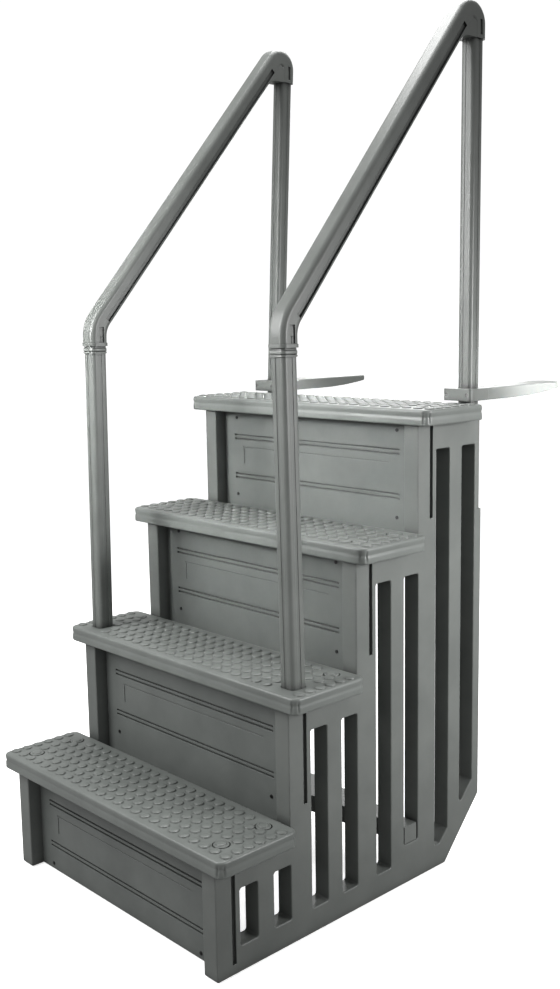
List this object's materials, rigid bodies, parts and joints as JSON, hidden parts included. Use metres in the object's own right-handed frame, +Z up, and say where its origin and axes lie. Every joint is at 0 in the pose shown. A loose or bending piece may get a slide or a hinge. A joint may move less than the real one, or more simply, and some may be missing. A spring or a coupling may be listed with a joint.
{
  "type": "pool ladder",
  "caption": "Wide in-pool step ladder with slotted side panels, studded treads, closed risers and two sloping handrails with deck flanges that slide up and down.",
  "frame": {"origin": "on the floor, at the middle of the overall width and depth", "axes": "+Z up; +Y from the lowest step towards the pool deck; +X to the right of a person facing the steps"},
  "size_m": [0.896, 1.33, 2.2209],
  "materials": {
    "tread_plastic": "satin",
    "panel_plastic": "satin",
    "rail_plastic": "satin",
    "ring_plastic": "satin",
    "screw_steel": "satin",
    "pad_rubber": "matte"
  },
  "bodies": {
    "steps": {"tread_1": "tread_plastic", "tread_screws_1": "screw_steel", "tread_caps_1": "tread_plastic", "riser_panel_1": "panel_plastic", "riser_screws_1": "screw_steel", "tread_2": "tread_plastic", "tread_screws_2": "screw_steel", "tread_caps_2": "tread_plastic", "riser_panel_2": "panel_plastic", "riser_screws_2": "screw_steel", "tread_3": "tread_plastic", "tread_screws_3": "screw_steel", "tread_caps_3": "tread_plastic", "riser_panel_3": "panel_plastic", "riser_screws_3": "screw_steel", "tread_4": "tread_plastic", "tread_screws_4": "screw_steel", "tread_caps_4": "tread_plastic", "riser_panel_4": "panel_plastic", "riser_screws_4": "screw_steel", "cross_tie": "panel_plastic", "left_side_panel": "panel_plastic", "left_foot_pads": "pad_rubber", "left_front_post": "rail_plastic", "left_rail_coupler": "ring_plastic", "left_hand_rail": "rail_plastic", "left_rear_upright": "rail_plastic", "right_side_panel": "panel_plastic", "right_foot_pads": "pad_rubber", "right_front_post": "rail_plastic", "right_rail_coupler": "ring_plastic", "right_hand_rail": "rail_plastic", "right_rear_upright": "rail_plastic"},
    "left_flange": {"left_flange_collar": "rail_plastic", "left_flange_tongue": "rail_plastic", "left_flange_screws": "screw_steel"},
    "right_flange": {"right_flange_collar": "rail_plastic", "right_flange_tongue": "rail_plastic", "right_flange_screws": "screw_steel"}
  },
  "joints": [
    {"name": "left_flange_slide", "type": "slide", "parent": "steps", "child": "left_flange", "axis": [0.0206, 0.0323, 0.9993], "range_m": [0, 0.152]},
    {"name": "right_flange_slide", "type": "slide", "parent": "steps", "child": "right_flange", "axis": [-0.0206, 0.0323, 0.9993], "range_m": [0, 0.152]}
  ]
}
